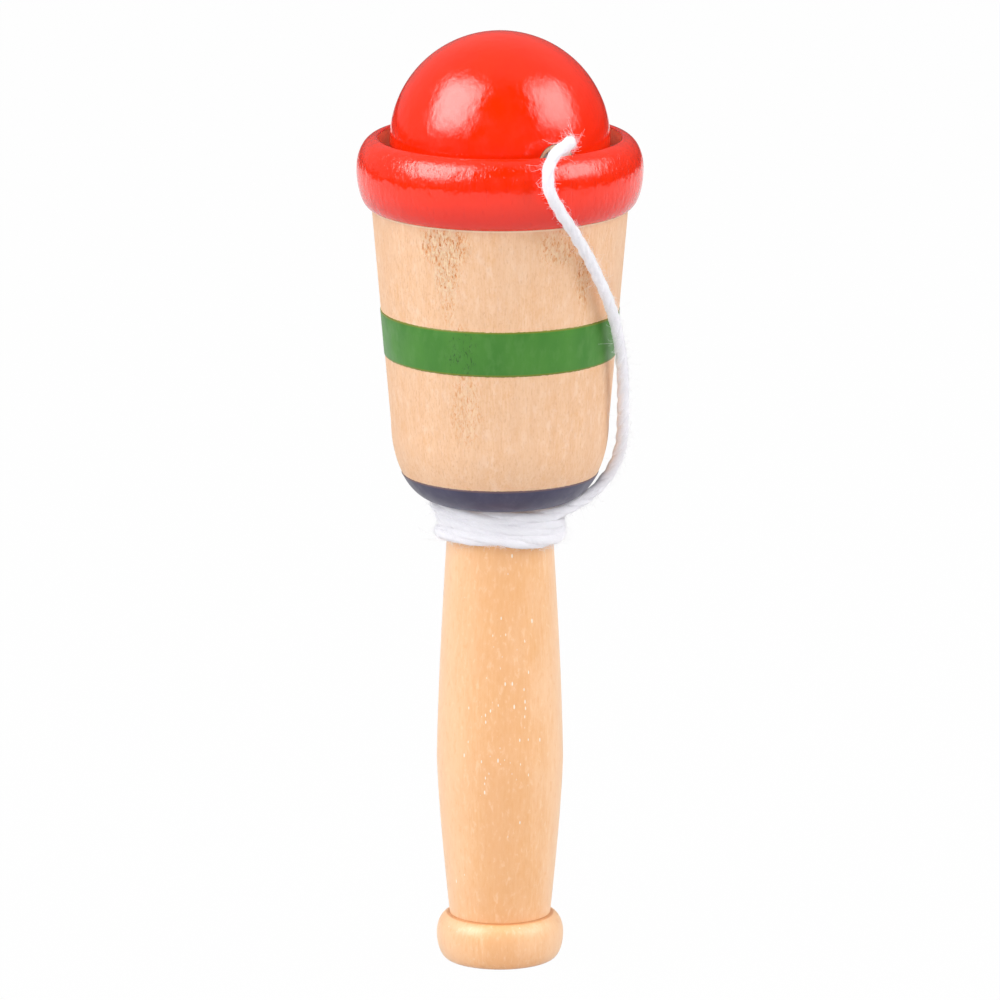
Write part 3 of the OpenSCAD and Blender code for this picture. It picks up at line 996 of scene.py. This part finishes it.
def red_gloss(name, grain_lift, ripple, painted_low_shade, depth):
    """Thick red paint over raised grain, with painted shade towards the lower edge of the bead."""
    material, tree, shader, place = start_material(name)
    wood = use_group(tree, grain, Place=place, Fineness=1.9, Pith=42.0)
    skin = use_group(tree, film, Place=place, Ripples=ripple)
    up = parts_of(place)[2]
    colour = layered(
        tint(253, 44, 0),
        (wood["Mottle"], 0.3, 0.75, 0.5, (250, 37, 0)),
        (wood["Pores"], grain_lift * 0.3, (222, 18, 8)),
        # painted shade: the lower part of the bead is painted darker, where less light comes up from the
        # floor
        (up, rim_mid_z - 0.6, rim_z + 1.1, painted_low_shade, (222, 26, 6)))
    height = heaped((skin["Ripple"], 1.0), (skin["Peel"], 0.75), (wood["Streak"], grain_lift),
                    (wood["Pores"], -0.4 * grain_lift))
    finish_with(shader, Base_Color=colour, Normal=relief(height, depth), IOR=1.5,
                Specular_IOR_Level=0.6, Roughness=ranged(skin["Marks"], 0.0, 1.0, 0.1, 0.19))
    return material


rim_red = red_gloss("rim_red_gloss", grain_lift=0.45, ripple=0.42, painted_low_shade=0.6, depth=0.13)
ball_red = red_gloss("ball_red_gloss", grain_lift=0.05, ripple=0.32, painted_low_shade=0.0, depth=0.085)
dress(rim_red, rim_coat)
dress(ball_red, ball)

# %% [markdown]
# The ball's countersinks and bore were left without paint and show bare wood. It is kept pale, partly its
# own tone and partly painted light, so that it stays bright in the hole's shade, and a dark line round the
# edge of the hole is painted shadow under the paint's edge. The same mesh carries both finishes: faces
# close to the bore get the second material.

# %% Bare wood in the ball's hole
hole_wood, tree, shader, place = start_material("bare_hole_wood")
wood = use_group(tree, grain, Place=place, Fineness=4.0, Pith=12.0)
arm = vector_maths("SUBTRACT", place, ball_centre)[0]
from_bore = length_of(vector_maths("CROSS_PRODUCT", arm, mouth_dir)[0])
colour = layered(
    # partly painted light: the bare wood is kept paler than the cup's, so that it stays bright in the
    # hole's shade
    tint(248, 224, 180),
    (wood["Streak"], 0.35, 0.65, 1.0, (252, 237, 206)),
    (wood["Pores"], 0.6, (128, 78, 40)),
    # painted shadow: a dark line round the hole, under the paint's edge
    (from_bore, bare_r - 0.21, bare_r - 0.07, 0.9, (72, 44, 22)))
height = heaped((wood["Streak"], 1.0), (wood["Pores"], -1.0))
finish_with(shader, Base_Color=colour, Normal=relief(height, 0.05),
            Roughness=ranged(wood["Streak"], 0.3, 0.7, 0.8, 0.65))
dress(hole_wood, ball)
bore_axis = Vector(mouth_dir)
for face in ball.data.polygons:
    arm = face.center / MM - Vector(ball_centre)
    if (arm - bore_axis * arm.dot(bore_axis)).length < bare_r:
        face.material_index = 1
print(sum(f.material_index for f in ball.data.polygons), "faces of bare wood in the ball")

# %% [markdown]
# ## Satin green and dark blue
# The two bands are thinner, satin paint. The torn grain underneath shows in the green as small dark pits,
# both let the streaks of the wood through as a faint change of tone, and both wear thin at their edges.
# The blue one's lower edge is out of sight, so its band is taken deeper than it is and only the top wears.

# %% Satin paints


def satin(name, dark, light, worn, middle_z, half_width, pits):
    """Thin satin paint on a band, given by its middle height and half its width."""
    material, tree, shader, place = start_material(name)
    wood = use_group(tree, grain, Place=place, Fineness=3.0, Pith=42.0)
    skin = use_group(tree, film, Place=place, Ripples=0.6)
    pitted = times(use_group(tree, torn, Place=place)["Holes"], pits)
    cloud = noise(scaled(place, (1, 1, 0.5), (6, 4, 1)), 0.8, 3, 0.62)
    from_middle = gap_to(parts_of(place)[2], middle_z)
    thin_edge = ranged(from_middle, half_width - 0.38, half_width - 0.12, 0.0, 0.85)
    paler = [c + 0.016 for c in light[:3]] + [1]
    darker = [c * 0.4 for c in dark[:3]] + [1]
    colour = mixed(ranged(wood["Mottle"], 0.3, 0.7), dark, light)
    colour = mixed(ranged(wood["Streak"], 0.4, 0.8, 0.0, 0.25), colour, dark)
    colour = mixed(ranged(cloud, 0.45, 0.7, 0.0, 0.6), colour, paler)
    colour = mixed(pitted, colour, darker)
    colour = mixed(thin_edge, colour, worn)
    height = heaped((skin["Ripple"], 1.0), (wood["Streak"], 0.3), (pitted, -1.4))
    finish_with(shader, Base_Color=colour, Normal=relief(height, 0.04),
                Specular_IOR_Level=0.5, Roughness=ranged(skin["Marks"], 0.0, 1.0, 0.38, 0.48))
    return material


navy_deep = 20
green_satin = satin("green_satin", tint(54, 121, 28), tint(68, 132, 38), tint(126, 124, 22),
                    (green_low + green_high) / 2, (green_high - green_low) / 2, pits=1.0)
navy_satin = satin("navy_satin", tint(54, 50, 78), tint(62, 58, 87), tint(110, 84, 84),
                   navy_top - navy_deep, navy_deep, pits=0.0)
dress(green_satin, green_coat)
dress(navy_satin, navy_coat)

# %% [markdown]
# ## Cotton
# Bleached cotton is nearly white with a hint of blue, quite matt, and its fibres glow a little at the edge.
# The glow is the shader's sheen. The strands and knots share the material, as they are one cord. The loose
# fibres have a plainer one, and cast no shadow, because they are drawn thicker than real fibres are.

# %% Cotton cord
white_cotton, tree, shader, place = start_material("bleached_cotton")
strand_map = put(tree, "UVMap", {"uv_map": "strand_mm"})
fibres = use_group(tree, cotton, Along=strand_map.outputs["UV"])
colour = layered(
    tint(240, 239, 244),
    (fibres["Fibre"], 0.3, 0.7, 1.0, (247, 246, 250)),
    (fibres["Shade"], 0.3, 0.7, 0.5, (243, 242, 247)))
finish_with(shader, Base_Color=colour, Normal=relief(fibres["Fibre"], 0.012),
            Roughness=ranged(fibres["Shade"], 0.3, 0.7, 0.85, 0.95),
            Specular_IOR_Level=0.2, Sheen_Weight=0.5, Sheen_Roughness=0.5)

loose_cotton, tree, shader, place = start_material("loose_cotton_fibre")
colour = mixed(noise(place, 1.5, 2), tint(246, 244, 248), tint(254, 253, 255))
finish_with(shader, Base_Color=colour, Roughness=0.9, Specular_IOR_Level=0.2)
dress(white_cotton, cord, ball_knot, neck_knot)
dress(loose_cotton, fuzz)
fuzz.visible_shadow = False

# %% [markdown]
# ## Which piece moves with what
# Each turned piece rides on the body of the solid that it stands for, and so do the knots: the one behind
# the ball on the ball's tether, the one at the neck on the toy. The cord between them stays where it is
# drawn, just outside the rim.

# %% Ride and replace
for piece, body, node, slot in [
        (cup, "toy", "cup", "cup_wood"),
        (rim_coat, "toy", "rim_paint", "red_paint"),
        (green_coat, "toy", "green_band", "green_paint"),
        (navy_coat, "toy", "navy_band", "navy_paint"),
        (handle, "toy", "handle", "handle_wood"),
        (ball, "ball", "ball", "red_lacquer"),
        (ball_knot, "tether_end", "ball_knot", "cotton_cord"),
        (neck_knot, "toy", "neck_knot", "cotton_cord")]:
    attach(piece, body)
    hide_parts(node)
for piece in (cord, fuzz):
    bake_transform(piece)
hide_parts("cord_in_ball", "cord_free_run", "cord_winding")
print("cord declared,", round(cord_length), "mm long")

# %% [markdown]
# ## Floor and light
# The toy stands on a pale floor that runs on to the horizon. Seen by the camera it is nearly its own light,
# so it comes out white, and the rest of it still takes the toy's soft shadow. Paint and lacquer mirror that
# white only near the toy, where a pool of light is painted on the sheet that glows in gloss. Further out
# the sheet is painted darker, as painted shade where the lamps don't reach.

# %% Floor
floor_reach = 6
lit_reach, lit_fade = 900, 40
own_light = 0.985
bpy.ops.object.select_all(action="DESELECT")
bpy.ops.mesh.primitive_circle_add(vertices=128, radius=floor_reach, fill_type="NGON")
floor = bpy.context.object
floor.name = "studio_floor"
floor_sheet, tree, shader, place = start_material("pale_floor_sheet")
# painted pool of light: near the toy the sheet is paler and glows in gloss, further out it is painted
# darker
lit = ranged(length_of(place), lit_reach, lit_reach - lit_fade)
finish_with(shader, Base_Color=mixed(lit, tint(110, 110, 112), tint(206, 206, 208)),
            Roughness=0.9, Specular_IOR_Level=0.1)
rays = put(tree, "LightPath").outputs
mirrored = maths("MAXIMUM", rays["Is Glossy Ray"], rays["Is Transmission Ray"])
seen = maths("MAXIMUM", rays["Is Camera Ray"], times(mirrored, lit))
glow = put(tree, "Emission", Color=(1, 1, 1, 1), Strength=1.0)
share = put(tree, "MixShader")
for number, value in enumerate((times(seen, own_light), shader.outputs[0], glow.outputs[0])):
    feed(share.inputs[number], value)
feed(find(tree, "OUTPUT_MATERIAL").inputs["Surface"], share.outputs[0])
dress(floor_sheet, floor)

# %% [markdown]
# Two large soft lamps stand at the left and the right of the front, where the ball shows their reflections,
# and a weak one fills in from the front. Each of the two is made twice: one part only lights, and the
# other, larger and fading to its edges as the cloth of a soft box does, only shows in what is glossy.
# So the brightness of the wood and the look of the highlights can be set one by one.

# %% Lamps
edge_fade = 0.36
lamp_distance, shine_nearer = 0.9, 0.02


def soft_edge(lamp):
    """Lets a lamp's face fade towards its edges."""
    lamp.use_nodes = True
    tree = lamp.node_tree
    across = parts_of(put(tree, "NewGeometry").outputs["Parametric"])
    fade = 1.0
    for way in across[:2]:
        from_edge = maths("MINIMUM", way, minus(1.0, way))
        fade = times(fade, ranged(from_edge, 0.0, edge_fade))
    feed(find(tree, "EMISSION").inputs["Strength"], fade)


def from_camera(right, up, near):
    """A direction given as the camera sees it."""
    return (Vector((right, 0, 0)) + camera_up * up + toward_camera * near).normalized()


def soft_lamp(name, toward, edge, distance, width, height, radiance):
    """A rectangular lamp that faces the ball, with its first side along edge, in camera directions."""
    back = from_camera(*toward)
    side = from_camera(*edge)
    side = (side - back * side.dot(back)).normalized()
    turn = Matrix((side, back.cross(side), back)).transposed().to_4x4()
    bpy.ops.object.light_add(type="AREA")
    lamp = bpy.context.object
    lamp.name = name
    lamp.data.shape = "RECTANGLE"
    lamp.data.size, lamp.data.size_y = width, height
    lamp.data.energy = radiance * math.pi * width * height
    lamp.matrix_world = Matrix.Translation(Vector(ball_centre) * MM + back * distance) @ turn
    shines = name.endswith("_shine")
    lamp.visible_glossy = shines
    lamp.visible_diffuse = not shines
    if shines:
        soft_edge(lamp.data)
    print(name, "at", [round(c, 2) for c in lamp.matrix_world.translation])


for side_name, toward, edge, width, height, light, shine, wider, taller in [
        ("left", (-0.66, 0.53, 0.45), (0.6, 0.02, 0.8), 0.92, 1.0, 2.8, 8.0, 1.16, 1.16),
        ("right", (0.78, 0.524, 0.338), (0.46, -0.12, -0.88), 0.68, 0.72, 3.6, 5.5, 1.5, 1.36)]:
    soft_lamp(side_name + "_lamp_light", toward, edge, lamp_distance, width, height, light)
    soft_lamp(side_name + "_lamp_shine", toward, edge, lamp_distance - shine_nearer,
              width * wider, height * taller, shine)
soft_lamp("front_fill_light", (0.1, 0.0, 1), (1, 0, 0), 1.3, 1.2, 1.2, 1.6)

# %% [markdown]
# Between the lamps the gloss shows the room: pale above and at the left, darker at the right and nearly
# black in front, above the camera. A picture of a studio could do it too, but a few soft steps are enough.

# %% World
dark_up, dark_edge, dark_core = math.radians(30), math.radians(60), math.radians(24)
world = bpy.data.worlds.new("studio_room")
bpy.context.scene.world = world
world.use_nodes = True
tree = world.node_tree
ways = put(tree, "TexCoord").outputs["Generated"]
facing = vector_maths("DOT_PRODUCT", ways, (0, -math.cos(dark_up), math.sin(dark_up)))["Value"]
dim = ranged(facing, math.cos(dark_edge), math.cos(dark_core))
spot = parts_of(ways)
left_wall, right_wall, ceiling = (0.36, 0.36, 0.365, 1), (0.13, 0.13, 0.132, 1), (0.44, 0.44, 0.446, 1)
walls = mixed(ranged(spot[0], -0.8, 0.6), left_wall, right_wall)
room = mixed(ranged(spot[2], 0.0, 0.7), walls, ceiling)
feed(find(tree, "BACKGROUND").inputs["Color"], mixed(dim, room, (0.03, 0.03, 0.03, 1)))
bpy.context.scene.view_settings.view_transform = "Standard"
print("world", world.name)
